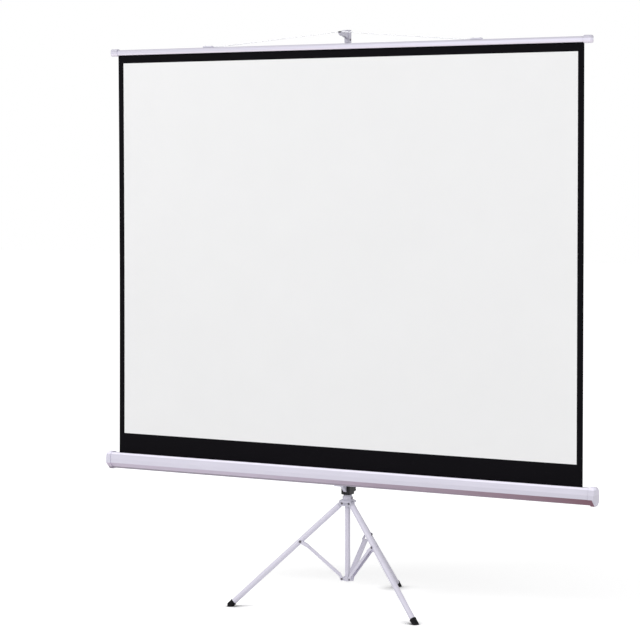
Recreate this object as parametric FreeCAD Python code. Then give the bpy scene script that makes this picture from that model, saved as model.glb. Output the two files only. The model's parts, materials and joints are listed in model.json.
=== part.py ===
import FreeCAD, Part
import math
import os

# Portable projection screen: a roller case and its fabric on a folding tripod.
# Millimetres, +Z up. The origin is on the floor under the mast, and the screen faces -Y.

# Clearances
overrun = 5.0
seat_clearance = 0.05
pin_clearance = 0.06
slide_clearance = 0.2
rest_gap = 0.3

# Fabric
picture_width = 2030.0
picture_height = 1520.0
side_border = 25.0
top_border = 33.0
bottom_border = 82.0
fabric_thickness = 0.5
screen_offset = 78.0

# Tripod linkage
hub_pivot_radius = 24.0
hub_pivot_height = 404.0
foot_radius = 468.0
brace_length = 222.0
rear_leg_angle = 93.0

# Leg tubes, knuckles and feet
leg_diameter = 22.0
leg_wall = 1.2
knuckle_thickness = 12.0
knuckle_radius = 9.0
knuckle_collar_start = 12.5
knuckle_collar_length = 5.5
knuckle_plug_length = 28.0
leg_end_lift = 5.0
foot_diameter = 25.0
foot_start_share = 0.956
foot_lip = 2.0
foot_toe = 6.0

# Leg hub
hub_radius = 19.0
hub_bottom_drop = 11.0
hub_floor_rise = 12.0
hub_socket_depth = 21.0
hub_dome = 6.0
hub_roof = 1.5
hub_brim_radius = 34.0
hub_brim_drop = 6.0
hub_brim_edge = 4.0
hub_brim_rise = 6.0
hub_ear_thickness = 4.0
hub_ear_radius = 11.0
hub_slot_radius = 14.4
hub_pin_diameter = 6.0
hub_pin_head_diameter = 9.0
hub_pin_head_height = 1.6
hub_screw_diameter = 5.0
hub_screw_head_diameter = 8.5
hub_screw_head_height = 2.2

# Braces
brace_width = 18.0
brace_depth = 12.0
brace_wall = 1.5
brace_pin_offset = 1.0
brace_fork_length = 37.0
brace_fork_wall = 2.0
brace_joggle = 3.0
brace_ear_radius = 7.0
brace_web_start = 14.0
brace_rivet_diameter = 6.0
brace_rivet_head_diameter = 10.0
brace_rivet_head_height = 1.6

# Centre post and brace hub
post_width = 16.0
post_wall = 1.0
post_corner = 1.5
post_lap = 199.0
post_bush_length = 30.0
brace_hub_radius = 14.0
brace_hub_height = 19.0
brace_hub_floor = 5.0
brace_hub_round = 1.5
brace_tongue_radius = 6.5
brace_pin_diameter = 5.0
brace_pin_head_diameter = 8.0
brace_pin_head_height = 1.2

# Mast, collar and extension
mast_width = 22.0
mast_wall = 1.2
mast_corner = 2.0
mast_length = 984.0
collar_width = 38.0
collar_lap = 25.0
collar_neck = 34.0
collar_round = 4.0
extension_lap = 150.0
extension_bush_length = 40.0

# Lock knobs and studs
knob_diameter = 32.0
knob_thickness = 18.0
knob_neck_diameter = 18.0
knob_neck_length = 3.0
knob_lobe_count = 6
knob_scallop_diameter = 10.0
edge_round = 2.0
stud_diameter = 8.0

# Roller case shell
case_hub_rise = 78.0
case_front_reach = 22.0
case_back_reach = 28.0
case_rise = 66.0
case_wall = 1.2
case_front_chamfer = 24.0
case_crease_rise = 40.0
case_front_lean = 4.0
case_top_chamfer_depth = 8.0
case_top_chamfer_height = 6.0
case_back_round = 20.0
case_slot = 8.0
case_lip = 6.0
case_overhang = 54.0

# Case end caps
cap_length = 23.0
cap_lap = 3.5
cap_end_wall = 3.0
cap_round = 6.0
cap_screw_diameter = 4.0
cap_screw_head_diameter = 7.0
cap_screw_head_height = 1.8
cap_screw_spread = 16.0

# Roller
roller_diameter = 30.0
roller_wall = 1.0
roller_end_margin = 5.0
roller_back_shift = 3.0
roller_rise = 31.0
roller_flange = 10.0
roller_plug_length = 20.0
wound_thickness = 1.2
gudgeon_diameter = 8.0
spindle_length = 450.0
spindle_tip_width = 7.0
spindle_tip_thickness = 5.0
spindle_tip_length = 5.0
spindle_shoulder_diameter = 18.0
spindle_shoulder_length = 6.0
spindle_shoulder_start = 70.0
spindle_bush_length = 15.0
spindle_bush_inset = 5.0
spring_outer_diameter = 18.0
spring_wire = 3.0
bracket_thickness = 2.5
bracket_width = 38.0
bracket_height = 42.0

# Carrier, cradle, saddle and pivot
carrier_width = 38.0
carrier_depth = 42.0
carrier_bottom_gap = 2.0
carrier_height = 122.0
carrier_round = 4.0
carrier_slit = 6.0
carrier_slit_height = 30.0
carrier_boss_diameter = 26.0
carrier_knob_rise = 19.0
cradle_width = 36.0
cradle_plate = 4.0
cradle_rib = 12.0
cradle_root = 32.0
cradle_round = 2.0
saddle_width = 120.0
saddle_height = 26.0
saddle_thickness = 3.0
saddle_rivet_diameter = 5.0
saddle_rivet_head_diameter = 9.0
saddle_rivet_head_height = 1.4
saddle_rivet_spread = 90.0
saddle_rivet_rise = 12.0
pivot_diameter = 10.0
pivot_nut_diameter = 18.0
pivot_nut_height = 7.0

# Top bar, caps and hem
bar_height = 22.0
bar_depth = 18.0
bar_wall = 1.8
bar_top_round = 7.0
bar_bottom_round = 3.0
bar_slot = 2.4
hem_rise = 6.0
hem_rod_diameter = 6.0
bar_cap_length = 33.0
bar_cap_height = 30.0
bar_cap_depth = 25.0
bar_cap_round = 8.0
bar_cap_end_round = 6.0
bar_cap_inner_round = 1.8
bar_cap_plug = 18.0

# Bail wire and its clips
bail_reach = 600.0
bail_rise = 47.0
bail_lean = 24.0
bail_wire_diameter = 3.0
bail_stub = 40.0
bail_bend_radius = 300.0
bail_apex_radius = 220.0
clip_length = 46.0
clip_width = 12.0
clip_height = 5.5
clip_wire_rise = 2.7
clip_round = 2.0
clip_rivet_diameter = 3.0
clip_rivet_head_diameter = 5.5
clip_rivet_head_height = 1.0
clip_rivet_spread = 30.0
clip_rivet_inset = 3.0

# Hook head
hook_width = 14.0
hook_block_width = 21.0
hook_block_height = 50.0
hook_top_wall = 20.0
hook_tip = 6.5
hook_beak = 11.0
hook_lip_rise = 1.8
hook_brow = 16.0
hook_comb_rise = 9.0
hook_throat_drop = 16.0
hook_groove_clearance = 0.5
hook_round = 2.0
hook_screw_diameter = 4.0
hook_screw_head_diameter = 7.5
hook_screw_head_height = 2.0
hook_screw_rise = 12.0

# Worked out places
fabric_width = picture_width + 2 * side_border
fabric_y = -screen_offset
case_bottom = hub_pivot_height + case_hub_rise
case_top = case_bottom + case_rise
bar_bottom = case_top + bottom_border + picture_height + top_border
bar_top = bar_bottom + bar_height
bail_apex_z = bar_top + bail_rise
bail_level = bar_top + clip_wire_rise
bail_apex_y = fabric_y + (bail_apex_z - bail_level) * math.tan(math.radians(bail_lean))
case_half_length = fabric_width / 2 + case_overhang
case_back_y = fabric_y + case_back_reach
roller_y = fabric_y + roller_back_shift
roller_z = case_bottom + roller_rise
leg_reach = foot_radius - hub_pivot_radius
leg_length = math.hypot(leg_reach, hub_pivot_height)
leg_angle = math.atan2(leg_reach, hub_pivot_height)
brace_hub_z = hub_pivot_height - 2 * brace_length * math.cos(leg_angle)
hub_bottom = hub_pivot_height - hub_bottom_drop
hub_seat = hub_pivot_height + hub_floor_rise
hub_top = hub_seat + hub_socket_depth
carrier_bottom = hub_top + carrier_bottom_gap
mast_top = hub_seat + mast_length
post_top = hub_seat + post_lap
extension_bottom = mast_top - extension_lap
hem_z = bar_bottom + hem_rise
hem_radius = hem_rod_diameter / 2 + seat_clearance + fabric_thickness
leg_names = ("rear", "front_left", "front_right")
leg_step = math.degrees(math.tau / len(leg_names))
leg_places = [(name, rear_leg_angle + leg_step * i) for i, name in enumerate(leg_names)]

vec = FreeCAD.Vector
x_axis = vec(1, 0, 0)
y_axis = vec(0, 1, 0)
z_axis = vec(0, 0, 1)
nodes = {}


def block(x_from, x_to, y_from, y_to, z_from, z_to):
    size = (x_to - x_from, y_to - y_from, z_to - z_from)
    return Part.makeBox(*size, vec(x_from, y_from, z_from))


def rod(diameter, start, end):
    run = end - start
    return Part.makeCylinder(diameter / 2, run.Length, start, run)


def pipe(outer, inner, start, end):
    return rod(outer, start, end).cut(rod(inner, start, end))


def group(solids):
    return Part.makeCompound(solids)


def joined(first, *others):
    return first.multiFuse(list(others)).removeSplitter()


def square_bar(width, corner, z_from, z_to):
    half = width / 2
    bar = block(-half, half, -half, half, z_from, z_to)
    return rounded(bar, corner, lambda e: e.BoundBox.DiagonalLength < e.BoundBox.ZLength + seat_clearance)


def square_tube(width, wall, corner, z_from, z_to):
    hollow = square_bar(width - 2 * wall, corner / 2, z_from, z_to)
    return square_bar(width, corner, z_from, z_to).cut(hollow)


def prism(points, direction):
    wire = Part.makePolygon(points + points[:1])
    return Part.Face(wire).extrude(direction)


def mirrored(shape):
    return shape.mirror(vec(0, 0, 0), x_axis)


def rounded(shape, radius, wanted):
    edges = [e for e in shape.Edges if wanted(e)]
    return shape.makeFillet(radius, edges)


def at_end(edge, axis, place):
    low = getattr(edge.BoundBox, axis + "Min")
    high = getattr(edge.BoundBox, axis + "Max")
    return max(abs(low - place), abs(high - place)) < seat_clearance


def rivet(diameter, head_diameter, head_height, start, end, both_heads=True):
    along = (end - start).normalize()
    body = rod(diameter, start, end)
    heads = [rod(head_diameter, end, end + along * head_height)]
    if both_heads:
        heads.append(rod(head_diameter, start - along * head_height, start))
    return joined(body, *heads)


def turned(shape, azimuth):
    return shape.rotated(vec(0, 0, 0), z_axis, azimuth)


def laid(shape, origin, pitch):
    # A shape drawn along +X is pitched down about +Y and moved to its origin.
    return shape.rotated(vec(0, 0, 0), y_axis, math.degrees(pitch)).translated(origin)


# Tripod, each leg drawn outwards along +X and turned to its place

def leg_origin():
    return vec(hub_pivot_radius, 0, hub_pivot_height)


def in_leg(shape):
    return laid(shape, leg_origin(), math.pi / 2 - leg_angle)


def in_brace(shape):
    return laid(shape, vec(hub_pivot_radius, 0, brace_hub_z), leg_angle - math.pi / 2)


def tube_start():
    return knuckle_collar_start + knuckle_collar_length


def tube_end():
    under = leg_diameter / 2 * math.sin(leg_angle)
    return (hub_pivot_height - leg_end_lift - under) / math.cos(leg_angle)


def across(place, half, height=0):
    return vec(place, -half, height), vec(place, half, height)


def make_leg_tube():
    bore = leg_diameter - 2 * leg_wall
    tube = pipe(leg_diameter, bore, vec(tube_start(), 0, 0), vec(tube_end(), 0, 0))
    hole = rod(brace_rivet_diameter + 2 * seat_clearance, *across(brace_length, leg_diameter))
    return tube.cut(hole)


def make_knuckle():
    half = knuckle_thickness / 2
    collar_end = tube_start()
    eye = rod(2 * knuckle_radius, *across(0, half))
    neck = block(0, collar_end, -half, half, -knuckle_radius, knuckle_radius)
    collar = rod(leg_diameter, vec(knuckle_collar_start, 0, 0), vec(collar_end, 0, 0))
    plug_diameter = leg_diameter - 2 * leg_wall - 2 * seat_clearance
    plug = rod(plug_diameter, vec(collar_end, 0, 0), vec(collar_end + knuckle_plug_length, 0, 0))
    hole = rod(hub_pin_diameter + 2 * pin_clearance, *across(0, knuckle_thickness))
    return joined(eye, neck, collar, plug).cut(hole)


def make_foot():
    start = leg_length * foot_start_share
    end = leg_length + foot_diameter
    boot = rod(foot_diameter, vec(start, 0, 0), vec(end, 0, 0))
    rim = rod(foot_diameter + foot_lip, vec(start, 0, 0), vec(start + foot_lip * 2, 0, 0))
    rim = rounded(rim, foot_lip / 2, lambda e: e.Closed and len(e.Vertexes) == 1)
    socket = rod(leg_diameter + 2 * seat_clearance, vec(start - overrun, 0, 0), vec(tube_end(), 0, 0))
    boot = in_leg(joined(boot, rim).cut(socket))
    reach = foot_radius + 2 * foot_diameter
    ground = block(-reach, reach, -reach, reach, -reach, 0)
    toe = foot_radius + foot_toe
    boot = boot.cut(ground).cut(block(toe, reach, -reach, reach, -reach, reach))
    return rounded(boot, edge_round, lambda e: at_end(e, "X", toe) and e.BoundBox.ZMax > edge_round)


def make_brace_rivet():
    half = leg_diameter / 2 + rest_gap + brace_fork_wall + rest_gap
    ends = across(brace_length, half)
    return rivet(brace_rivet_diameter, brace_rivet_head_diameter, brace_rivet_head_height, *ends)


def ear_plate(inner, outer, points, eye_place):
    plates = []
    for side in (-1, 1):
        low, high = sorted((side * inner, side * outer))
        flat = [vec(x, low, z) for x, z in points]
        eye = rod(2 * brace_ear_radius, vec(eye_place, low, 0), vec(eye_place, high, 0))
        plates.append(prism(flat, vec(0, high - low, 0)).fuse(eye))
    return plates


def make_brace():
    half = brace_width / 2
    inner = half - brace_wall
    low = brace_pin_offset
    high = low + brace_depth
    fork_start = brace_length - brace_fork_length
    fork_inner = leg_diameter / 2 + rest_gap
    fork_outer = fork_inner + brace_fork_wall
    outside = block(brace_web_start, fork_start + brace_joggle, -half, half, low, high)
    inside = block(0, brace_length, -inner, inner, 0, high - brace_wall)
    channel = outside.cut(inside)
    lower_points = [(0, -brace_ear_radius), (brace_web_start, low), (brace_web_start * 2, low),
                    (brace_web_start * 2, high - brace_wall), (brace_web_start, high - brace_wall),
                    (0, brace_ear_radius)]
    upper_points = [(fork_start, low), (fork_start, high), (brace_length, brace_ear_radius),
                    (brace_length, -brace_ear_radius)]
    step = block(fork_start, fork_start + brace_joggle, -fork_outer, fork_outer, low, high)
    step = step.cut(inside)
    ears = ear_plate(inner, half, lower_points, 0)
    ears += ear_plate(fork_inner, fork_outer, upper_points, brace_length)
    pin_hole = rod(brace_pin_diameter + 2 * pin_clearance, *across(0, brace_width))
    rivet_hole = rod(brace_rivet_diameter + 2 * pin_clearance, *across(brace_length, brace_width))
    return joined(channel, step, *ears).cut(pin_hole).cut(rivet_hole)


def hub_ear_top():
    return hub_seat - rest_gap


def hub_screw_height():
    return (hub_ear_top() + hub_brim_rise + hub_top - hub_dome) / 2


def make_leg_hub():
    body = rod(2 * hub_radius, vec(0, 0, hub_bottom), vec(0, 0, hub_top - hub_dome))
    cap = Part.makeCone(hub_radius, hub_radius - hub_dome / 2, hub_dome, vec(0, 0, hub_top - hub_dome))
    ear_inner = knuckle_thickness / 2 + rest_gap
    ear_outer = ear_inner + hub_ear_thickness
    ear_top = hub_ear_top()
    brim_start = vec(0, 0, ear_top - hub_brim_drop)
    brim_turn = brim_start + z_axis * hub_brim_edge
    slope = hub_brim_drop - hub_brim_edge + hub_brim_rise
    roof = Part.makeCone(hub_brim_radius, hub_radius, slope, brim_turn)
    brim = joined(rod(2 * hub_brim_radius, brim_start, brim_turn), roof)
    brim = rounded(brim, edge_round, lambda e: at_end(e, "Z", brim_turn.z))
    ears = []
    slots = []
    holes = []
    for name, azimuth in leg_places:
        pivot = vec(hub_pivot_radius, 0, hub_pivot_height)
        cheek = rod(2 * hub_ear_radius, pivot - y_axis * ear_outer, pivot + y_axis * ear_outer)
        bridge = block(0, hub_pivot_radius, -ear_outer, ear_outer, hub_bottom, ear_top)
        slot = block(hub_slot_radius, foot_radius, -ear_inner, ear_inner, 0, ear_top - hub_roof)
        hole = rod(hub_pin_diameter + 2 * seat_clearance, pivot - y_axis * hub_radius,
                   pivot + y_axis * hub_radius)
        ears += [turned(cheek, azimuth), turned(bridge, azimuth)]
        slots.append(turned(slot, azimuth))
        holes.append(turned(hole, azimuth))
    hub = joined(body, cap, brim, *ears)
    under = block(-foot_radius, foot_radius, -foot_radius, foot_radius, 0, hub_bottom)
    bore = square_bar(post_width + 4 * slide_clearance, post_corner, 0, hub_seat)
    socket = square_bar(mast_width + 2 * seat_clearance, mast_corner, hub_seat, hub_top + overrun)
    screw_bores = [screw.cut(socket) for screw in hub_screw_rods(seat_clearance)]
    for tool in slots + holes + screw_bores + [under, bore, socket]:
        hub = hub.cut(tool)
    return hub


def hub_screw_rods(clearance):
    height = hub_screw_height()
    inner = mast_width / 2 - mast_wall
    return [rod(hub_screw_diameter + 2 * clearance, vec(side * inner, 0, height),
                vec(side * (hub_radius + overrun), 0, height)) for side in (-1, 1)]


def make_hub_screws():
    height = hub_screw_height()
    inner = mast_width / 2 - mast_wall
    sizes = (hub_screw_diameter, hub_screw_head_diameter, hub_screw_head_height)
    ends = [(vec(side * inner, 0, height), vec(side * hub_radius, 0, height)) for side in (-1, 1)]
    return group([rivet(*sizes, start, end, both_heads=False) for start, end in ends])


def make_hub_pins():
    half = knuckle_thickness / 2 + rest_gap + hub_ear_thickness
    pivot = vec(hub_pivot_radius, 0, hub_pivot_height)
    pin = rivet(hub_pin_diameter, hub_pin_head_diameter, hub_pin_head_height,
                pivot - y_axis * half, pivot + y_axis * half)
    return group([turned(pin, azimuth) for name, azimuth in leg_places])


def make_brace_hub():
    bottom = brace_hub_z - brace_hub_height / 2
    top = bottom + brace_hub_height
    half = brace_width / 2 - brace_wall - rest_gap
    body = rod(2 * brace_hub_radius, vec(0, 0, bottom), vec(0, 0, top))
    body = rounded(body, brace_hub_round, lambda e: at_end(e, "Z", bottom))
    pivot = vec(hub_pivot_radius, 0, brace_hub_z)
    tongue = block(0, hub_pivot_radius, -half, half, brace_hub_z - brace_tongue_radius,
                   brace_hub_z + brace_tongue_radius)
    eye = rod(2 * brace_tongue_radius, pivot - y_axis * half, pivot + y_axis * half)
    hole = rod(brace_pin_diameter + 2 * seat_clearance, pivot - y_axis * brace_width,
               pivot + y_axis * brace_width)
    lugs = []
    for name, azimuth in leg_places:
        lugs += [turned(tongue, azimuth), turned(eye, azimuth)]
    hub = joined(body, *lugs)
    for name, azimuth in leg_places:
        hub = hub.cut(turned(hole, azimuth))
    floor = bottom + brace_hub_floor
    return hub.cut(square_bar(post_width + 2 * seat_clearance, post_corner, floor, top + overrun))


def make_brace_hub_pins():
    half = brace_width / 2 + rest_gap
    pivot = vec(hub_pivot_radius, 0, brace_hub_z)
    pin = rivet(brace_pin_diameter, brace_pin_head_diameter, brace_pin_head_height,
                pivot - y_axis * half, pivot + y_axis * half)
    return group([turned(pin, azimuth) for name, azimuth in leg_places])


def make_post():
    bottom = brace_hub_z - brace_hub_height / 2 + brace_hub_floor
    return square_tube(post_width, post_wall, post_corner, bottom, post_top)


def guide_bush(z_from, z_to):
    outer = mast_width - 2 * mast_wall - 2 * slide_clearance
    hollow = square_bar(post_width + 2 * seat_clearance, post_corner, z_from, z_to)
    return square_bar(outer, post_corner, z_from, z_to).cut(hollow)


def make_tripod():
    for name, azimuth in leg_places:
        pieces = {"leg_tube": in_leg(make_leg_tube()), "leg_knuckle": in_leg(make_knuckle()),
                  "leg_foot": make_foot(), "brace_rivet": in_leg(make_brace_rivet()),
                  "brace": in_brace(make_brace())}
        for piece, shape in pieces.items():
            nodes[name + "_" + piece] = turned(shape, azimuth)
    nodes["leg_hub"] = make_leg_hub()
    nodes["leg_hub_pins"] = make_hub_pins()
    nodes["leg_hub_screws"] = make_hub_screws()
    nodes["center_post"] = make_post()
    nodes["post_guide_bush"] = guide_bush(post_top - post_bush_length, post_top)
    nodes["brace_hub"] = make_brace_hub()
    nodes["brace_hub_pins"] = make_brace_hub_pins()


# Mast, extension, collar and lock knobs

def make_mast_tube():
    tube = square_tube(mast_width, mast_wall, mast_corner, hub_seat, mast_top)
    for hole in hub_screw_rods(seat_clearance):
        tube = tube.cut(hole)
    return tube


def collar_top():
    return mast_top + collar_neck


def make_collar():
    bottom = mast_top - collar_lap
    body = square_bar(collar_width, collar_round, bottom, collar_top())
    body = rounded(body, edge_round, lambda e: at_end(e, "Z", bottom) or at_end(e, "Z", collar_top()))
    seat = square_bar(mast_width + 2 * seat_clearance, mast_corner, bottom - overrun, mast_top)
    bore = square_bar(post_width + 2 * slide_clearance, post_corner, mast_top - overrun,
                      collar_top() + overrun)
    stud_bore = rod(stud_diameter + 2 * pin_clearance, vec(0, 0, extension_knob_z()),
                    vec(0, collar_width, extension_knob_z()))
    return body.cut(seat).cut(bore).cut(stud_bore)


def extension_knob_z():
    return mast_top + collar_neck / 2


def make_knob(face_y, height):
    neck_end = face_y + knob_neck_length
    end = neck_end + knob_thickness
    grip = rod(knob_diameter, vec(0, neck_end, height), vec(0, end, height))
    for turn in range(knob_lobe_count):
        angle = 2 * math.pi * turn / knob_lobe_count
        side = vec(math.cos(angle), 0, math.sin(angle)) * (knob_diameter / 2 + knob_scallop_diameter / 4)
        middle = vec(0, neck_end, height) + side
        scallop = rod(knob_scallop_diameter, middle - y_axis * overrun, middle + y_axis * knob_diameter)
        grip = grip.cut(scallop)
    grip = rounded(grip, edge_round, lambda e: at_end(e, "Y", end))
    neck = rod(knob_neck_diameter, vec(0, face_y, height), vec(0, neck_end, height))
    socket = rod(stud_diameter + 2 * seat_clearance, vec(0, face_y - overrun, height),
                 vec(0, neck_end + knob_thickness / 2, height))
    return joined(grip, neck).cut(socket)


def make_stud(tip_y, face_y, height):
    end = face_y + knob_neck_length + knob_thickness / 2
    return rod(stud_diameter, vec(0, tip_y, height), vec(0, end, height))


def make_mast():
    nodes["mast_tube"] = make_mast_tube()
    nodes["mast_collar"] = make_collar()
    face = collar_width / 2 + rest_gap
    nodes["extension_knob"] = make_knob(face, extension_knob_z())
    nodes["extension_stud"] = make_stud(post_width / 2 + rest_gap, face, extension_knob_z())
    nodes["extension_tube"] = make_extension_tube()
    nodes["extension_guide_bush"] = guide_bush(extension_bottom, extension_bottom + extension_bush_length)
    nodes["hook_head"] = make_hook_head()
    nodes["hook_screws"] = make_hook_screws()


def hook_top():
    return bail_apex_z + hook_comb_rise


def hook_screw_ends(end):
    height = hook_top() - hook_block_height + hook_screw_rise
    inner = post_width / 2 - post_wall
    return [(vec(side * inner, 0, height), vec(side * end, 0, height)) for side in (-1, 1)]


def make_extension_tube():
    top = hook_top() - hook_top_wall
    tube = square_tube(post_width, post_wall, post_corner, extension_bottom, top)
    for start, end in hook_screw_ends(hook_block_width):
        tube = tube.cut(rod(hook_screw_diameter + 2 * seat_clearance, start, end))
    return tube


def make_hook_head():
    top = hook_top()
    bottom = top - hook_block_height
    body = square_bar(hook_block_width, hook_round, bottom, top)
    groove = bail_wire_diameter / 2 + hook_groove_clearance
    tip = bail_apex_y - hook_tip
    neck = bail_apex_y + 2 * hook_beak
    throat = bail_apex_z - hook_throat_drop
    side = [(0, top), (-hook_brow, top), (bail_apex_y + groove, bail_apex_z + hook_lip_rise),
            (bail_apex_y + groove, bail_apex_z), (bail_apex_y - groove, bail_apex_z),
            (bail_apex_y - groove, bail_apex_z + hook_lip_rise), (tip, bail_apex_z + hook_lip_rise),
            (tip, bail_apex_z - hook_beak / 2), (tip + hook_beak, throat + hook_round),
            (neck, throat), (0, throat - hook_beak)]
    arm = prism([vec(-hook_width / 2, y, z) for y, z in side], vec(hook_width, 0, 0))
    arm = rounded(arm, hook_round, lambda e: e.BoundBox.XLength > hook_width / 2 and at_end(e, "Y", tip))
    seat = vec(0, bail_apex_y, bail_apex_z)
    trough = rod(2 * groove, seat - x_axis * hook_width, seat + x_axis * hook_width)
    head = joined(body, arm.cut(trough))
    bore = square_bar(post_width + 2 * seat_clearance, post_corner, bottom - overrun, top - hook_top_wall)
    head = head.cut(bore)
    for start, end in hook_screw_ends(hook_block_width):
        head = head.cut(rod(hook_screw_diameter + 2 * seat_clearance, start, end))
    return head


def make_hook_screws():
    sizes = (hook_screw_diameter, hook_screw_head_diameter, hook_screw_head_height)
    ends = hook_screw_ends(hook_block_width / 2)
    return group([rivet(*sizes, start, end, both_heads=False) for start, end in ends])


# Roller case, its caps and its roller

def case_profile(x_place):
    front = fabric_y - case_front_reach
    back = case_back_y
    turn = case_back_round * (1 - math.cos(math.pi / 4))
    low_mid = vec(x_place, back - turn, case_bottom + turn)
    high_mid = vec(x_place, back - turn, case_top - turn)
    low_start = vec(x_place, back - case_back_round, case_bottom)
    low_end = vec(x_place, back, case_bottom + case_back_round)
    high_start = vec(x_place, back, case_top - case_back_round)
    high_end = vec(x_place, back - case_back_round, case_top)
    corners = [(front + case_top_chamfer_depth, case_top),
               (front + case_front_lean, case_top - case_top_chamfer_height),
               (front, case_bottom + case_crease_rise), (front, case_bottom + case_front_chamfer),
               (front + case_front_chamfer, case_bottom)]
    points = [high_end] + [vec(x_place, y, z) for y, z in corners] + [low_start]
    curves = [Part.LineSegment(start, end) for start, end in zip(points, points[1:])]
    curves += [Part.Arc(low_start, low_mid, low_end), Part.LineSegment(low_end, high_start),
               Part.Arc(high_start, high_mid, high_end)]
    return Part.Wire([curve.toShape() for curve in curves])


def case_prism(grow, x_from, x_to):
    wire = case_profile(x_from)
    if grow:
        wire = wire.makeOffset2D(grow)
    return Part.Face(wire).extrude(vec(x_to - x_from, 0, 0))


def shell_half_length():
    return case_half_length - cap_end_wall - seat_clearance


def make_case_shell():
    half = shell_half_length()
    shell = case_prism(0, -half, half).cut(case_prism(-case_wall, -half - overrun, half + overrun))
    slot_half = case_slot / 2
    slot = block(-half - overrun, half + overrun, fabric_y - slot_half, fabric_y + slot_half,
                 case_top - case_lip, case_top + overrun)
    lips = []
    for side in (-1, 1):
        low, high = sorted((fabric_y + side * slot_half, fabric_y + side * (slot_half + case_wall)))
        lips.append(block(-half, half, low, high, case_top - case_lip, case_top))
    shell = joined(shell.cut(slot), *lips)
    for start, end in saddle_rivet_ends():
        shell = shell.cut(rod(saddle_rivet_diameter + 2 * seat_clearance, start - y_axis * overrun, end))
    for start, end in cap_screw_ends():
        shell = shell.cut(rod(cap_screw_diameter + 2 * seat_clearance, start - y_axis * overrun, end))
    return shell


def cap_screw_ends():
    middle = case_bottom + case_rise / 2
    place = case_half_length - cap_length / 2
    inner = case_back_y - case_wall
    ends = []
    for side in (-1, 1):
        for level in (-1, 1):
            height = middle + level * cap_screw_spread / 2
            outer = case_back_y + cap_lap
            ends.append((vec(side * place, inner, height), vec(side * place, outer, height)))
    return ends


def make_cap_screws():
    sizes = (cap_screw_diameter, cap_screw_head_diameter, cap_screw_head_height)
    return group([rivet(*sizes, start, end, both_heads=False) for start, end in cap_screw_ends()])


def make_end_cap():
    inner = case_half_length - cap_length
    cap = case_prism(cap_lap, inner, case_half_length)
    cap = rounded(cap, cap_round, lambda e: at_end(e, "X", case_half_length))
    pocket = case_prism(seat_clearance, inner - overrun, case_half_length - cap_end_wall)
    cap = cap.cut(pocket)
    for start, end in cap_screw_ends():
        cap = cap.cut(rod(cap_screw_diameter + 2 * seat_clearance, start, end + y_axis * overrun))
    return cap


def bracket_face():
    return case_half_length - cap_end_wall


def make_bracket():
    half_y = bracket_width / 2
    half_z = bracket_height / 2
    inner = bracket_face() - bracket_thickness
    plate = block(inner, bracket_face(), roller_y - half_y, roller_y + half_y, roller_z - half_z,
                  roller_z + half_z)
    return plate.common(case_prism(-case_wall - seat_clearance, inner, bracket_face()))


def on_roller(x_place):
    return vec(x_place, roller_y, roller_z)


def spindle_tip(grow, end):
    half_y = spindle_tip_thickness / 2 + grow
    half_z = spindle_tip_width / 2 + grow
    start = bracket_face() - spindle_tip_length
    return block(start, end, roller_y - half_y, roller_y + half_y, roller_z - half_z, roller_z + half_z)


def make_left_bracket():
    hole = rod(gudgeon_diameter + 2 * pin_clearance, on_roller(0), on_roller(case_half_length))
    return mirrored(make_bracket().cut(hole))


def make_right_bracket():
    return make_bracket().cut(spindle_tip(seat_clearance, case_half_length))


def roller_half():
    return fabric_width / 2 + roller_end_margin


def make_roller_tube():
    half = roller_half()
    return pipe(roller_diameter, roller_diameter - 2 * roller_wall, on_roller(-half), on_roller(half))


def plug_body():
    half = roller_half()
    flange = rod(roller_diameter, on_roller(half), on_roller(half + roller_flange))
    plug_diameter = roller_diameter - 2 * roller_wall - 2 * seat_clearance
    plug = rod(plug_diameter, on_roller(half - roller_plug_length), on_roller(half))
    return joined(flange, plug)


def make_left_plug():
    tip = rod(gudgeon_diameter, on_roller(roller_half()), on_roller(bracket_face() - rest_gap))
    return mirrored(joined(plug_body(), tip))


def make_right_plug():
    bore = rod(gudgeon_diameter + 2 * pin_clearance, on_roller(0), on_roller(case_half_length))
    return plug_body().cut(bore)


def spindle_start():
    return bracket_face() - spindle_length


def make_spindle():
    tip_start = bracket_face() - spindle_tip_length
    shaft = rod(gudgeon_diameter, on_roller(spindle_start()), on_roller(tip_start))
    shoulder_end = bracket_face() - spindle_shoulder_start
    shoulder = rod(spindle_shoulder_diameter, on_roller(shoulder_end - spindle_shoulder_length),
                   on_roller(shoulder_end))
    return joined(shaft, shoulder, spindle_tip(0, bracket_face() - rest_gap))


def spindle_bush_end():
    return spindle_start() + spindle_bush_inset + spindle_bush_length


def make_spindle_bush():
    outer = roller_diameter - 2 * roller_wall - 2 * seat_clearance
    return pipe(outer, gudgeon_diameter + 2 * pin_clearance, on_roller(spindle_start() + spindle_bush_inset),
                on_roller(spindle_bush_end()))


def make_torsion_spring():
    end = bracket_face() - spindle_shoulder_start - spindle_shoulder_length
    return pipe(spring_outer_diameter, spring_outer_diameter - 2 * spring_wire,
                on_roller(spindle_bush_end() + rest_gap), on_roller(end))


def wound_diameter():
    return roller_diameter + 2 * seat_clearance + 2 * wound_thickness


def make_wound_fabric():
    half = fabric_width / 2
    return pipe(wound_diameter(), roller_diameter + 2 * seat_clearance, on_roller(-half), on_roller(half))


def make_case():
    nodes["case_shell"] = make_case_shell()
    cap = make_end_cap()
    nodes["end_cap_right"] = cap
    nodes["end_cap_left"] = mirrored(cap)
    nodes["end_cap_screws"] = make_cap_screws()
    nodes["roller_bracket_left"] = make_left_bracket()
    nodes["roller_bracket_right"] = make_right_bracket()
    nodes["spring_spindle"] = make_spindle()
    nodes["torsion_spring"] = make_torsion_spring()
    nodes["roller_tube"] = make_roller_tube()
    nodes["roller_plug_left"] = make_left_plug()
    nodes["roller_plug_right"] = make_right_plug()
    nodes["spindle_bush"] = make_spindle_bush()
    nodes["wound_fabric"] = make_wound_fabric()


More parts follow.
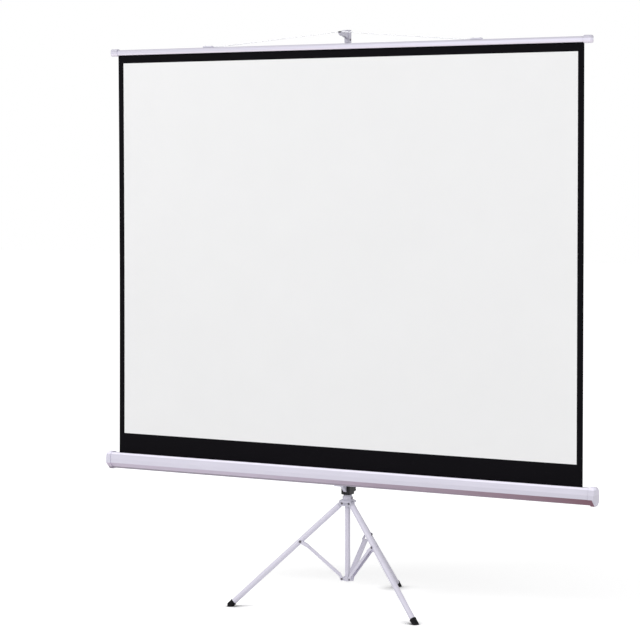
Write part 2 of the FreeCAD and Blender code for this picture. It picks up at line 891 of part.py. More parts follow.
# Carrier that holds the case on the mast

def saddle_middle():
    return case_bottom + case_rise / 2


def saddle_back():
    return case_back_y + saddle_thickness


def saddle_rivet_ends():
    ends = []
    for side in (-1, 1):
        for level in (-1, 1):
            x_place = side * saddle_rivet_spread / 2
            height = saddle_middle() + level * saddle_rivet_rise / 2
            ends.append((vec(x_place, case_back_y - case_wall, height), vec(x_place, saddle_back(), height)))
    return ends


def make_saddle():
    half_x = saddle_width / 2
    half_z = saddle_height / 2
    middle = saddle_middle()
    plate = block(-half_x, half_x, case_back_y, saddle_back(), middle - half_z, middle + half_z)
    plate = rounded(plate, carrier_round, lambda e: e.BoundBox.YLength > saddle_thickness / 2)
    for start, end in saddle_rivet_ends():
        plate = plate.cut(rod(saddle_rivet_diameter + 2 * seat_clearance, start, end + y_axis * overrun))
    return plate


def make_saddle_rivets():
    sizes = (saddle_rivet_diameter, saddle_rivet_head_diameter, saddle_rivet_head_height)
    return group([rivet(*sizes, start, end) for start, end in saddle_rivet_ends()])


def nut_seat():
    return -mast_width / 2 - slide_clearance - pivot_nut_height - rest_gap


def make_pivot_bolt():
    return rod(pivot_diameter, vec(0, saddle_back(), saddle_middle()),
               vec(0, nut_seat() + pivot_nut_height - rest_gap, saddle_middle()))


def make_pivot_nut():
    seat = vec(0, nut_seat(), saddle_middle())
    nut = rod(pivot_nut_diameter, seat, seat + y_axis * (pivot_nut_height - rest_gap))
    return nut.cut(rod(pivot_diameter + 2 * seat_clearance, seat, seat + y_axis * pivot_nut_diameter))


def case_knob_z():
    return carrier_bottom + carrier_knob_rise


def make_carrier():
    half_x = carrier_width / 2
    half_y = carrier_depth / 2
    top = carrier_bottom + carrier_height
    body = block(-half_x, half_x, -half_y, half_y, carrier_bottom, top)
    body = rounded(body, carrier_round, lambda e: e.BoundBox.ZLength > carrier_height / 2)
    body = rounded(body, edge_round, lambda e: at_end(e, "Z", top) or at_end(e, "Z", carrier_bottom))
    middle = saddle_middle()
    boss = rod(carrier_boss_diameter, vec(0, saddle_back(), middle), vec(0, 0, middle))
    bore = square_bar(mast_width + 2 * slide_clearance, mast_corner, carrier_bottom - overrun, top + overrun)
    axis = vec(0, 0, middle)
    pivot_bore = rod(pivot_diameter + 2 * seat_clearance, vec(0, saddle_back() - overrun, middle), axis)
    nut_pocket = rod(pivot_nut_diameter + 2 * slide_clearance, vec(0, nut_seat(), middle), axis)
    stud_bore = rod(stud_diameter + 2 * pin_clearance, vec(0, 0, case_knob_z()),
                    vec(0, carrier_depth, case_knob_z()))
    slit = block(-carrier_slit / 2, carrier_slit / 2, -half_y - overrun, 0, carrier_bottom - overrun,
                 carrier_bottom + carrier_slit_height)
    carrier = joined(body, boss)
    for tool in (bore, pivot_bore, nut_pocket, stud_bore, slit):
        carrier = carrier.cut(tool)
    return carrier


def make_cradle():
    back = -carrier_depth / 2
    front = fabric_y - case_front_reach + case_front_chamfer
    under = case_bottom - cradle_plate
    half = cradle_width / 2
    plate = block(-half, half, front, back, under, case_bottom)
    plate = rounded(plate, cradle_round, lambda e: at_end(e, "Y", front) and at_end(e, "Z", under))
    side = [(back, case_bottom), (front + cradle_plate, case_bottom), (front + cradle_plate, under),
            ((front + back) / 2, under - cradle_plate), (back, case_bottom - cradle_root)]
    rib = prism([vec(-cradle_rib / 2, y, z) for y, z in side], vec(cradle_rib, 0, 0))
    return joined(plate, rib)


def make_case_mount():
    nodes["case_saddle"] = make_saddle()
    nodes["saddle_rivets"] = make_saddle_rivets()
    nodes["pivot_bolt"] = make_pivot_bolt()
    nodes["pivot_nut"] = make_pivot_nut()
    nodes["carrier_sleeve"] = make_carrier()
    nodes["case_cradle"] = make_cradle()
    face = carrier_depth / 2 + rest_gap
    nodes["case_knob"] = make_knob(face, case_knob_z())
    nodes["case_stud"] = make_stud(mast_width / 2 + rest_gap, face, case_knob_z())


# Fabric, top bar and bail

def make_fabric():
    half = fabric_thickness / 2
    width = vec(fabric_width, 0, 0)
    left = -fabric_width / 2
    bend = vec(left, fabric_y, case_top - case_lip)
    axis = vec(left, roller_y, roller_z)
    away = axis - bend
    reach = away.Length
    radius = wound_diameter() / 2 + rest_gap + half
    lean = math.asin(radius / reach)
    run = math.sqrt(reach ** 2 - radius ** 2)
    leader = FreeCAD.Rotation(x_axis, -math.degrees(lean)).multVec(away).normalize()
    square = leader.cross(x_axis)
    corners = [bend - square * half, bend + square * half, bend + leader * run + square * half,
               bend + leader * run - square * half]
    tail = prism(corners, width)
    fold = Part.makeCylinder(half, fabric_width, bend, x_axis)
    sheet = block(left, -left, fabric_y - half, fabric_y + half, bend.z, hem_z - hem_radius + half)
    hem_from = vec(left, fabric_y, hem_z)
    hem_to = vec(-left, fabric_y, hem_z)
    hem = pipe(2 * hem_radius, 2 * hem_radius - 2 * fabric_thickness, hem_from, hem_to)
    return joined(sheet, fold, tail, hem)


def bar_outline(grow):
    half = bar_depth / 2 + grow
    solid = block(-fabric_width / 2, fabric_width / 2, fabric_y - half, fabric_y + half, bar_bottom - grow,
                  bar_top + grow)
    solid = rounded(solid, bar_top_round, lambda e: at_end(e, "Z", bar_top + grow) and
                    e.BoundBox.XLength > bar_depth)
    return rounded(solid, bar_bottom_round, lambda e: at_end(e, "Z", bar_bottom - grow) and
                   e.BoundBox.XLength > bar_depth)


def bar_hollow():
    half = bar_depth / 2 - bar_wall
    floor = hem_z + hem_radius + bar_wall
    return block(-fabric_width, fabric_width, fabric_y - half, fabric_y + half, floor + seat_clearance,
                 bar_top - bar_wall - bar_top_round / 2)


def make_bar():
    long_from = vec(-fabric_width, fabric_y, hem_z)
    long_to = vec(fabric_width, fabric_y, hem_z)
    chamber = rod(2 * hem_radius + 2 * slide_clearance, long_from, long_to)
    slot = block(-fabric_width, fabric_width, fabric_y - bar_slot / 2, fabric_y + bar_slot / 2,
                 bar_bottom - overrun, hem_z)
    bar = bar_outline(0).cut(bar_hollow()).cut(chamber).cut(slot)
    for start, end in clip_rivet_ends():
        bar = bar.cut(rod(clip_rivet_diameter + 2 * seat_clearance, start, end))
    return bar


def make_bar_cap():
    inner = fabric_width / 2
    middle = (bar_bottom + bar_top) / 2
    half_y = bar_cap_depth / 2
    half_z = bar_cap_height / 2
    head = block(inner, inner + bar_cap_length, fabric_y - half_y, fabric_y + half_y, middle - half_z,
                 middle + half_z)
    head = rounded(head, bar_cap_round, lambda e: e.BoundBox.XLength > bar_cap_length / 2)
    head = rounded(head, bar_cap_end_round, lambda e: at_end(e, "X", inner + bar_cap_length))
    head = rounded(head, bar_cap_inner_round, lambda e: at_end(e, "X", inner))
    hollow = bar_hollow().common(block(inner - bar_cap_plug, inner, fabric_y - half_y, fabric_y + half_y,
                                       bar_bottom, bar_top))
    plug = hollow.BoundBox
    plug = block(plug.XMin, plug.XMax, plug.YMin + slide_clearance, plug.YMax - slide_clearance,
                 plug.ZMin + slide_clearance, plug.ZMax - slide_clearance)
    return joined(head, plug)


def make_hem_rod():
    half = fabric_width / 2
    return rod(hem_rod_diameter, vec(-half, fabric_y, hem_z), vec(half, fabric_y, hem_z))


def bail_wire_path():
    # Drawn upright in the screen's plane; the finished wire leans back to the hook.
    level = bail_level
    foot = bail_reach - clip_length / 2
    knee = foot - bail_stub
    rise = (bail_apex_z - level) / math.cos(math.radians(bail_lean))
    slope = math.atan2(rise, knee)
    knee_run = bail_bend_radius * math.tan(slope / 2)
    apex_run = bail_apex_radius * math.tan(slope)
    apex_drop = bail_apex_radius * (1 / math.cos(slope) - 1)
    peak = level + rise + apex_drop
    slope = math.atan2(peak - level, knee)
    along = vec(math.cos(slope), 0, math.sin(slope))
    start = vec(-bail_reach, fabric_y, level)
    bend_in = vec(-knee - knee_run, fabric_y, level)
    bend_out = vec(-knee, fabric_y, level) + along * knee_run
    bend_mid = arc_middle(bend_in, vec(-knee, fabric_y, level), bend_out)
    top = vec(0, fabric_y, peak)
    apex_in = top - along * apex_run
    apex_out = vec(-apex_in.x, fabric_y, apex_in.z)
    apex_mid = arc_middle(apex_in, top, apex_out)
    half = [Part.LineSegment(start, bend_in), Part.Arc(bend_in, bend_mid, bend_out),
            Part.LineSegment(bend_out, apex_in)]
    mirror = [Part.LineSegment(mirror_point(apex_in), mirror_point(bend_out)),
              Part.Arc(mirror_point(bend_out), mirror_point(bend_mid), mirror_point(bend_in)),
              Part.LineSegment(mirror_point(bend_in), mirror_point(start))]
    curves = half + [Part.Arc(apex_in, apex_mid, apex_out)] + mirror
    return Part.Wire([curve.toShape() for curve in curves])


def mirror_point(point):
    return vec(-point.x, point.y, point.z)


def arc_middle(start, corner, end):
    chord = (start + end) / 2
    inward = (chord - corner).normalize()
    half_turn = (math.pi - (start - corner).getAngle(end - corner)) / 2
    run = (start - corner).Length
    radius = run / math.tan(half_turn)
    return corner + inward * (radius / math.cos(half_turn) - radius)


def make_bail_wire():
    path = bail_wire_path()
    start = vec(-bail_reach, fabric_y, bail_level)
    section = Part.Wire([Part.makeCircle(bail_wire_diameter / 2, start, x_axis)])
    wire = path.makePipeShell([section], True, False)
    ideal = math.pi * (bail_wire_diameter / 2) ** 2 * path.Length
    print("bail wire volume over section times length", round(wire.Volume / ideal, 4))
    return wire.rotated(start, x_axis, -bail_lean)


def clip_rivet_ends():
    ends = []
    for side in (-1, 1):
        for place in (-1, 1):
            x_place = side * bail_reach + place * clip_rivet_spread / 2
            y_place = fabric_y + clip_width / 2 - clip_rivet_inset
            low = vec(x_place, y_place, bar_top - bar_wall - bar_top_round / 2)
            ends.append((low, vec(x_place, y_place, bar_top + clip_height)))
    return ends


def make_clips():
    clips = []
    for side in (-1, 1):
        x_place = side * bail_reach
        clip = block(x_place - clip_length / 2, x_place + clip_length / 2, fabric_y - clip_width / 2,
                     fabric_y + clip_width / 2, bar_top, bar_top + clip_height)
        clip = rounded(clip, clip_round, lambda e: at_end(e, "Z", bar_top + clip_height))
        inner = vec(x_place, fabric_y, bail_level)
        channel = rod(bail_wire_diameter + 2 * seat_clearance, inner, inner - x_axis * side * clip_length)
        clips.append(clip.cut(channel))
    clips = group(clips)
    for start, end in clip_rivet_ends():
        clips = clips.cut(rod(clip_rivet_diameter + 2 * seat_clearance, start, end + z_axis * overrun))
    return clips


def make_clip_rivets():
    sizes = (clip_rivet_diameter, clip_rivet_head_diameter, clip_rivet_head_height)
    return group([rivet(*sizes, start, end, both_heads=False) for start, end in clip_rivet_ends()])


def make_screen():
    nodes["screen_fabric"] = make_fabric()
    nodes["top_bar"] = make_bar()
    cap = make_bar_cap()
    nodes["bar_cap_right"] = cap
    nodes["bar_cap_left"] = mirrored(cap)
    nodes["hem_rod"] = make_hem_rod()
    nodes["bail_wire"] = make_bail_wire()
    nodes["bail_clips"] = make_clips()
    nodes["bail_clip_rivets"] = make_clip_rivets()


make_tripod()
make_mast()
make_case()
make_case_mount()
make_screen()
os.makedirs("parts", exist_ok=True)
for node, shape in nodes.items():
    shape.exportStep("parts/" + node + ".step")
print(len(nodes), "nodes")
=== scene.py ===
import json
import math

import bpy
from bpy.props import FloatProperty, FloatVectorProperty, PointerProperty
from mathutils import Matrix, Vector


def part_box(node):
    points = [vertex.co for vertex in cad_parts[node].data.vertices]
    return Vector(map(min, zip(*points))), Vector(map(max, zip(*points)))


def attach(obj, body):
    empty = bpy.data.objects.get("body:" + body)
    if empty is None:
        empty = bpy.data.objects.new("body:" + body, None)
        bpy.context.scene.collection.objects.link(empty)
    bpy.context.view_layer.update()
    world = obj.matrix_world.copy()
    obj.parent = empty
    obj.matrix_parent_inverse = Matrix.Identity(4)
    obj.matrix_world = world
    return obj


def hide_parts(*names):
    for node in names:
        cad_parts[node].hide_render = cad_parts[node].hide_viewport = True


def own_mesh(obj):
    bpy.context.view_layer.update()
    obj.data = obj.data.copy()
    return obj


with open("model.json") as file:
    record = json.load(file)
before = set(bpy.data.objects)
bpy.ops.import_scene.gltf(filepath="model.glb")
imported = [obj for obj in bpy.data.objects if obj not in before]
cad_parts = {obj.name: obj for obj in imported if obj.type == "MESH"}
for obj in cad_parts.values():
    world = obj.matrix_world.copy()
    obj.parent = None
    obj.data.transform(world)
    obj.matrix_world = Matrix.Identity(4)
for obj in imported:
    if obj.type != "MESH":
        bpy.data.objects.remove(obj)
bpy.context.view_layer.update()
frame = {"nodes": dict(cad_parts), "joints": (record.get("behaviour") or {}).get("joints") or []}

bl_info = {
    "name": "Tripod projection screen",
    "version": (1, 0, 0),
    "blender": (4, 5, 0),
    "location": "3D View > Sidebar > Screen",
    "description": "Dresses the solids of a tripod projection screen and models its fabric",
    "category": "Object",
}

SIDES = ("rear", "front_left", "front_right")

# Places that come from the solids
FABRIC_LOW, FABRIC_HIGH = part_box("screen_fabric")
CASE_LOW, CASE_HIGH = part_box("case_shell")
CAP_LOW, CAP_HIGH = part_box("end_cap_right")
BAR_LOW, BAR_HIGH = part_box("top_bar")
ROD_LOW, ROD_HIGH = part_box("hem_rod")
ROLL_LOW, ROLL_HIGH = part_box("wound_fabric")
TUBE_LOW, TUBE_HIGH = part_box("roller_tube")
HOOK_LOW, HOOK_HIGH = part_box("hook_head")
FABRIC_WIDTH = FABRIC_HIGH.x - FABRIC_LOW.x
FABRIC_Y = (ROD_LOW.y + ROD_HIGH.y) / 2
HEM_Z = (ROD_LOW.z + ROD_HIGH.z) / 2
SLOT_Z = CASE_HIGH.z
BAR_Z = BAR_LOW.z

# Bands of painted shade, shadow, highlight and reflection on the case, measured from its corners, each with
# the way that it fades over
MAUVE_START = -0.40
FRONT_DEPTH = 0.0220
FRONT_FADE = 0.0020
BELLY_HEIGHT = 0.0390
BELLY_FADE = 0.0020
BROW_DEPTH = 0.0068
BROW_FADE = 0.0010
MAUVE_HEIGHT = 0.0230
MAUVE_FADE = 0.0015
BOTTOM_SHADE_HEIGHT = 0.0060
BOTTOM_SHADE_FADE = 0.0030
BOTTOM_SHADE_SHARE = 0.85
CAP_ROUNDING = 0.0065
CAP_FADE = 0.0016
SEAM_INSET = 0.0011
SEAM_HALF = 0.0009
SEAM_SHARE = 0.55

# Bands of painted shade on the bar's upper rounding and of painted highlight along its lower edge, measured
# from its top and its underside
BAR_TOP_DEPTH = 0.0085
BAR_TOP_FADE = 0.0025
BAR_EDGE_HEIGHT = 0.0045
BAR_EDGE_FADE = 0.0025

# The painted shade on the slope of the hook's groove, measured from the tip and the top
GROOVE_SHADE_HALF = 0.0058
GROOVE_SHADE_REACH = 0.016
GROOVE_SHADE_DEPTH = 0.0135

# Streaks per metre along each axis
TUBE_STREAKS = (260.0, 260.0, 2.0)
CASE_STREAKS = (1.3, 170.0, 170.0)
BAR_STREAKS = (1.3, 190.0, 190.0)
PIN_STREAKS = (420.0, 420.0, 420.0)
PLATE_STREAKS = (3.0, 300.0, 300.0)
WIRE_STREAKS = (4.0, 500.0, 500.0)
ROLLER_STREAKS = (2.0, 240.0, 240.0)

# Surfaces of the mouldings and of the fabric's back
PALE_SURFACE = {"gloss": 0.46, "grain": 1100.0, "wear": 1.2}
DARK_SURFACE = {"gloss": 0.40, "grain": 1000.0, "wear": 5.0}
DARK_SHINE = 0.25
BACK_SURFACE = {"rough": 0.80, "depth": 0.00010, "variation": 0.25, "shine": 0.15, "sheen": 0.0}

# How the fabric ripples across its half width
WIDE_WAVE = 7.1
WIDE_PHASE = 0.6
NARROW_WAVE = 17.3
NARROW_PHASE = 1.9
NARROW_LEAN = 1.2
NARROW_SHARE = 0.6
WAIST_POWER = 3
CURL_POWER = 10

# How the fabric is cut, printed, hemmed and wound
PICTURE_SLOT = 0
BORDER_SLOT = 1
BACK_SLOT = 2
EDGE_TOLERANCE = 1e-5
MERGE_DISTANCE = 1e-6
RUN_CUTS = 55
HEAD_CUTS = 24
LEADER_CUTS = 8
LOWER_SPARE = 0.004
MIDDLE_SPARE = 0.006
LEADER_DROP = 0.006
FABRIC_GAP = 0.00005
HEM_TURN = math.radians(330.0)
HEM_STEPS = 22
TURN_STEPS = 40
TURN_PITCH_SHARE = 1.1
ROLLED_SHARE = 0.9
SMOOTH_ANGLE = math.radians(40.0)

# The stage
KEY_PLACE = (-4.2, -6.0, 6.6)
FILL_PLACE = (6.5, -3.5, 3.2)
LAMP_SIZE = 4.0
LAMP_AIM = Vector((0.0, 0.0, 1.1))
FLOOR_SIZE = 60.0
FLOOR_Z = -0.0004
CONTACT_REACH = 0.07
SENSOR_WIDTH = 36.0
VIEW_REACH = 200.0

# Sockets of Blender's colour mix
MIX_FACTOR = 0
MIX_FIRST = 6
MIX_SECOND = 7
MIX_RESULT = 2

# Node names by finish
TUBE_NODES = ["mast_tube", "extension_tube", "center_post"]
TUBE_NODES += [side + "_leg_tube" for side in SIDES] + [side + "_brace" for side in SIDES]
CASE_NODES = ["case_shell", "end_cap_left", "end_cap_right"]
BAR_NODES = ["top_bar", "bar_cap_left", "bar_cap_right"]
MOULDED_NODES = ["leg_hub", "brace_hub", "case_cradle", "mast_collar", "bail_clips"]
MOULDED_NODES += [side + "_leg_knuckle" for side in SIDES]
DARK_NODES = ["extension_knob", "case_knob", "post_guide_bush", "extension_guide_bush", "roller_plug_left",
              "roller_plug_right", "spindle_bush", "carrier_sleeve"]
PIN_NODES = ["leg_hub_pins", "leg_hub_screws", "brace_hub_pins", "hook_screws", "end_cap_screws",
             "saddle_rivets", "bail_clip_rivets", "pivot_bolt", "pivot_nut", "extension_stud", "case_stud"]
PIN_NODES += [side + "_brace_rivet" for side in SIDES]
PLATE_NODES = ["roller_bracket_left", "roller_bracket_right", "spring_spindle", "torsion_spring",
               "case_saddle", "hem_rod"]
FOOT_NODES = [side + "_leg_foot" for side in SIDES]


class FabricSettings(bpy.types.PropertyGroup):
    """Sizes and colours of the fabric."""
    side_border: FloatProperty(name="Side border", description="Black border at each side",
                               default=0.025, min=0.001, unit="LENGTH")
    top_border: FloatProperty(name="Top border", description="Black border under the top bar",
                              default=0.033, min=0.001, unit="LENGTH")
    bottom_border: FloatProperty(name="Bottom border", description="Black border over the case",
                                 default=0.082, min=0.001, unit="LENGTH")
    thickness: FloatProperty(name="Thickness", description="Thickness of the coated cloth",
                             default=0.0005, min=0.0001, unit="LENGTH")
    edge_curl: FloatProperty(name="Edge curl", description="How far the free edges curl back at mid height",
                             default=0.0030, min=0.0, unit="LENGTH")
    waist: FloatProperty(name="Waist", description="How far each free edge draws in at mid height",
                         default=0.0014, min=0.0, unit="LENGTH")
    ripple: FloatProperty(name="Ripple", description="Depth of the upright ripples at mid height",
                          default=0.0006, min=0.0, unit="LENGTH")
    weave: FloatProperty(name="Weave pitch", description="Distance between threads",
                         default=0.0011, min=0.0002, unit="LENGTH")
    picture_colour: FloatVectorProperty(name="Picture", description="Matte coating of the picture area",
                                        default=(0.86, 0.86, 0.865), min=0.0, max=1.0, subtype="COLOR")
    border_colour: FloatVectorProperty(name="Border", description="Printed black border",
                                       default=(0.004, 0.0035, 0.005), min=0.0, max=1.0, subtype="COLOR")
    back_colour: FloatVectorProperty(name="Back", description="Black backing of the cloth",
                                     default=(0.012, 0.012, 0.013), min=0.0, max=1.0, subtype="COLOR")


class FinishSettings(bpy.types.PropertyGroup):
    """Colours of the paint, the mouldings and the metal."""
    paint: FloatVectorProperty(name="Paint", description="Satin paint on the tubes, the case and the bar",
                               default=(0.685, 0.662, 0.768), min=0.0, max=1.0, subtype="COLOR")
    # Painted shade and reflection on the slope under the front of the case, mauve, and darker towards its
    # right-hand end
    chamfer_shade: FloatVectorProperty(name="Case chamfer", description="Mauve band under the front of the case",
                                 default=(0.610, 0.530, 0.660), min=0.0, max=1.0, subtype="COLOR")
    chamfer_end_shade: FloatVectorProperty(name="Chamfer end", description="Mauve band at its right-hand end",
                                     default=(0.165, 0.050, 0.085), min=0.0, max=1.0, subtype="COLOR")
    # Painted highlight along the lower edge of the bar
    lower_highlight: FloatVectorProperty(name="Bar lower edge", description="Paler paint along the lower edge",
                                    default=(0.780, 0.730, 0.830), min=0.0, max=1.0, subtype="COLOR")
    moulding: FloatVectorProperty(name="Mouldings", description="Pale moulded fittings",
                                  default=(0.640, 0.625, 0.720), min=0.0, max=1.0, subtype="COLOR")
    knob: FloatVectorProperty(name="Knobs", description="Dark moulded fittings",
                              default=(0.010, 0.010, 0.012), min=0.0, max=1.0, subtype="COLOR")
    pin: FloatVectorProperty(name="Pins", description="Blackened steel pins, rivets and screws",
                             default=(0.120, 0.110, 0.125), min=0.0, max=1.0, subtype="COLOR")
    plate: FloatVectorProperty(name="Plated steel", description="Zinc-plated steel",
                               default=(0.520, 0.520, 0.540), min=0.0, max=1.0, subtype="COLOR")
    rubber: FloatVectorProperty(name="Rubber", description="Rubber of the feet",
                                default=(0.006, 0.006, 0.007), min=0.0, max=1.0, subtype="COLOR")


class StageSettings(bpy.types.PropertyGroup):
    """Camera, light and floor."""
    camera_place: FloatVectorProperty(name="Camera place", description="Where the camera stands",
                                      default=(4.531, -7.951, 1.730), subtype="TRANSLATION", unit="LENGTH")
    heading: FloatProperty(name="Heading", description="Turn of the camera about the upright axis",
                           default=math.radians(30.36), subtype="ANGLE")
    pitch: FloatProperty(name="Pitch", description="Downward tilt of the camera",
                         default=math.radians(1.895), subtype="ANGLE")
    lens: FloatProperty(name="Lens", description="Focal length in millimetres", default=131.32, min=1.0)
    shift: FloatProperty(name="Shift", description="Upright shift of the lens", default=-0.12)
    sky: FloatProperty(name="Sky", description="Strength of the light from all round", default=0.50, min=0.0)
    key: FloatProperty(name="Key", description="Power of the large soft lamp", default=335.0, min=0.0)
    fill: FloatProperty(name="Fill", description="Power of the second soft lamp", default=140.0, min=0.0)
    floor: FloatVectorProperty(name="Floor", description="Colour of the floor", default=(0.92, 0.92, 0.92),
                               min=0.0, max=1.0, subtype="COLOR")


# Material building blocks

class Finish:
    """A node material that is put together one step at a time."""

    def __init__(self, name):
        self.material = bpy.data.materials.new(name)
        self.material.use_nodes = True
        self.tree = self.material.node_tree
        self.shader = self.tree.nodes["Principled BSDF"]
        self.coords = self.tree.nodes.new("ShaderNodeTexCoord").outputs["Object"]

    def feed(self, target, source):
        """Links a socket to another one, or sets it to a plain value."""
        if hasattr(source, "is_output"):
            self.tree.links.new(source, target)
        else:
            target.default_value = source

    def node(self, kind, links=(), **values):
        """A new node with its settings and what goes into it."""
        made = self.tree.nodes.new(kind)
        for key, value in values.items():
            setattr(made, key, value)
        for socket, source in links:
            self.feed(made.inputs[socket], source)
        return made

    def stretched(self, x, y, z):
        """Coordinates scaled by axis, so that a pattern is drawn out."""
        links = [("Vector", self.coords), ("Scale", (x, y, z))]
        return self.node("ShaderNodeMapping", links).outputs["Vector"]

    def noise(self, scale, detail=3.0, vector=None):
        links = [("Vector", vector or self.coords), ("Scale", scale), ("Detail", detail)]
        return self.node("ShaderNodeTexNoise", links).outputs["Fac"]

    def bands(self, direction, pitch):
        """Even bands across one axis, a pitch apart."""
        links = [("Vector", self.coords), ("Scale", math.pi / (10 * pitch)), ("Distortion", 0.0)]
        return self.node("ShaderNodeTexWave", links, bands_direction=direction).outputs["Fac"]

    def combine(self, operation, first, second=0.0):
        return self.node("ShaderNodeMath", [(0, first), (1, second)], operation=operation).outputs[0]

    def times(self, first, *others):
        for other in others:
            first = self.combine("MULTIPLY", first, other)
        return first

    def spread(self, value, low, high, start=0.0, end=1.0):
        """A value that goes from low to high as another goes from start to end."""
        links = [("Value", value), ("From Min", start), ("From Max", end), ("To Min", low), ("To Max", high)]
        return self.node("ShaderNodeMapRange", links).outputs["Result"]

    def below(self, value, edge, fade, most=1.0):
        """A mask that is full up to an edge and fades out over a short way."""
        return self.spread(value, most, 0.0, edge, edge + fade)

    def above(self, value, edge, fade):
        """A mask that is empty up to an edge and fades in over a short way."""
        return self.spread(value, 0.0, 1.0, edge, edge + fade)

    def mix(self, factor, first, second):
        """One colour that turns into another."""
        made = self.node("ShaderNodeMix", [], data_type="RGBA")
        self.feed(made.inputs[MIX_FACTOR], factor)
        for socket, colour in ((MIX_FIRST, first), (MIX_SECOND, second)):
            self.feed(made.inputs[socket], colour if hasattr(colour, "is_output") else (*colour, 1.0))
        return made.outputs[MIX_RESULT]

    def axis(self, letter):
        return self.node("ShaderNodeSeparateXYZ", [("Vector", self.coords)]).outputs[letter]

    def rounded_edges(self, radius):
        return self.node("ShaderNodeBevel", [("Radius", radius)], samples=4).outputs["Normal"]

    def edge_mask(self, radius):
        """A mask of the edges, where the rounded normal leaves the flat one."""
        bent = self.rounded_edges(radius)
        plain = self.node("ShaderNodeNewGeometry").outputs["True Normal"]
        dot = self.node("ShaderNodeVectorMath", [(0, bent), (1, plain)], operation="DOT_PRODUCT")
        return self.spread(dot.outputs["Value"], 1.0, 0.0, start=0.75, end=0.995)

    def bump(self, height, depth, strength, normal=None):
        links = [("Height", height), ("Distance", depth), ("Strength", strength)]
        if normal:
            links.append(("Normal", normal))
        return self.node("ShaderNodeBump", links).outputs["Normal"]

    def tone(self):
        """The colour that the shader has so far."""
        return self.shader.inputs["Base Color"].links[0].from_socket

    def join(self, **sources):
        for socket, source in sources.items():
            self.feed(self.shader.inputs[socket.replace("_", " ")], source)
        return self.material


def shade(colour, factor):
    """A darker or paler colour."""
    return tuple(min(1.0, part * factor) for part in colour)


def seen_rays(tree):
    """Full on the rays that show a surface: straight, mirrored or through glass."""
    path = tree.nodes.new("ShaderNodeLightPath")
    seen = path.outputs["Is Camera Ray"]
    for kind in ("Is Glossy Ray", "Is Transmission Ray"):
        either = tree.nodes.new("ShaderNodeMath")
        either.operation = "MAXIMUM"
        tree.links.new(seen, either.inputs[0])
        tree.links.new(path.outputs[kind], either.inputs[1])
        seen = either.outputs[0]
    return seen


def satin_paint(name, colour, streaks):
    """Sprayed paint, clouded, streaked and scuffed, with paler worn edges."""
    paint = Finish(name)
    cloud = paint.noise(scale=7.0, detail=4.0)
    drawn = paint.noise(scale=1.0, detail=2.0, vector=paint.stretched(*streaks))
    worn = paint.edge_mask(radius=0.0012)
    tone = paint.mix(cloud, shade(colour, 0.935), shade(colour, 1.035))
    streaked = paint.spread(drawn, 0.0, 0.40, start=0.45, end=0.75)
    tone = paint.mix(streaked, tone, shade(colour, 0.91))
    tone = paint.mix(paint.times(worn, 0.5), tone, shade(colour, 1.18))
    scuffs = paint.spread(paint.noise(scale=140.0, detail=6.0), 0.0, 0.5, start=0.66, end=0.74)
    tone = paint.mix(scuffs, tone, shade(colour, 0.80))
    gloss = paint.spread(paint.noise(scale=55.0), low=0.30, high=0.52)
    peel = paint.noise(scale=700.0, detail=2.0)
    normal = paint.bump(peel, depth=0.00018, strength=0.5, normal=paint.rounded_edges(0.0007))
    paint.join(Base_Color=tone, Roughness=gloss, Normal=normal)
    return paint


def case_paint(name, colour, chamfer_shade, chamfer_end_shade):
    """Satin paint with painted light and shade: the front turns to a mauve painted shade and reflection
    below, more so towards the right-hand end, with a painted highlight along its top, painted shade on its
    lower part and bottom edge, and a painted shadow in the gap at the right-hand cap.
    """
    paint = satin_paint(name, colour, CASE_STREAKS)
    tone = paint.tone()
    x, y, z = (paint.axis(letter) for letter in "XYZ")
    front = paint.below(y, CASE_LOW.y + FRONT_DEPTH, FRONT_FADE)
    rightward = paint.spread(x, 0.0, 1.0, MAUVE_START, CASE_HIGH.x)
    leftward = paint.combine("SUBTRACT", 1.0, rightward)
    # Painted shade: the lower part of the case darkens towards the right-hand end
    belly = paint.below(z, CASE_LOW.z + BELLY_HEIGHT, BELLY_FADE)
    tone = paint.mix(paint.times(rightward, belly), tone, shade(colour, 0.90))
    # Painted highlight along the top of the front
    brow = paint.above(z, CASE_HIGH.z - BROW_DEPTH, BROW_FADE)
    tone = paint.mix(paint.times(front, brow), tone, shade(colour, 1.30))
    # Painted shade and reflection on the slope under the front, mauve, and darker towards the right-hand end
    patches = paint.spread(paint.noise(scale=3.0, detail=2.0), low=-0.05, high=0.05)
    mauve = paint.mix(paint.combine("ADD", rightward, patches), chamfer_shade, chamfer_end_shade)
    # Painted shade along the bottom edge under the front, strongest towards the left-hand end
    bottom_shade = paint.below(z, CASE_LOW.z + BOTTOM_SHADE_HEIGHT, BOTTOM_SHADE_FADE, most=BOTTOM_SHADE_SHARE)
    mauve = paint.mix(paint.times(bottom_shade, leftward), mauve, shade(chamfer_shade, 0.35))
    lower = paint.below(z, CASE_LOW.z + MAUVE_HEIGHT, MAUVE_FADE)
    # The painted shade and reflection stop short of the right-hand cap's rounded end, which keeps the plain
    # paint
    inner = paint.below(x, CAP_HIGH.x - CAP_ROUNDING - CAP_FADE / 2, CAP_FADE)
    tone = paint.mix(paint.times(inner, front, lower), tone, mauve)
    # Painted shadow in the gap between the shell and the right-hand cap
    from_seam = paint.combine("ABSOLUTE", paint.combine("SUBTRACT", CAP_LOW.x - SEAM_INSET, x))
    seam_shadow = paint.combine("LESS_THAN", from_seam, SEAM_HALF)
    return paint.join(Base_Color=paint.mix(paint.times(seam_shadow, SEAM_SHARE), tone, shade(colour, 0.30)))


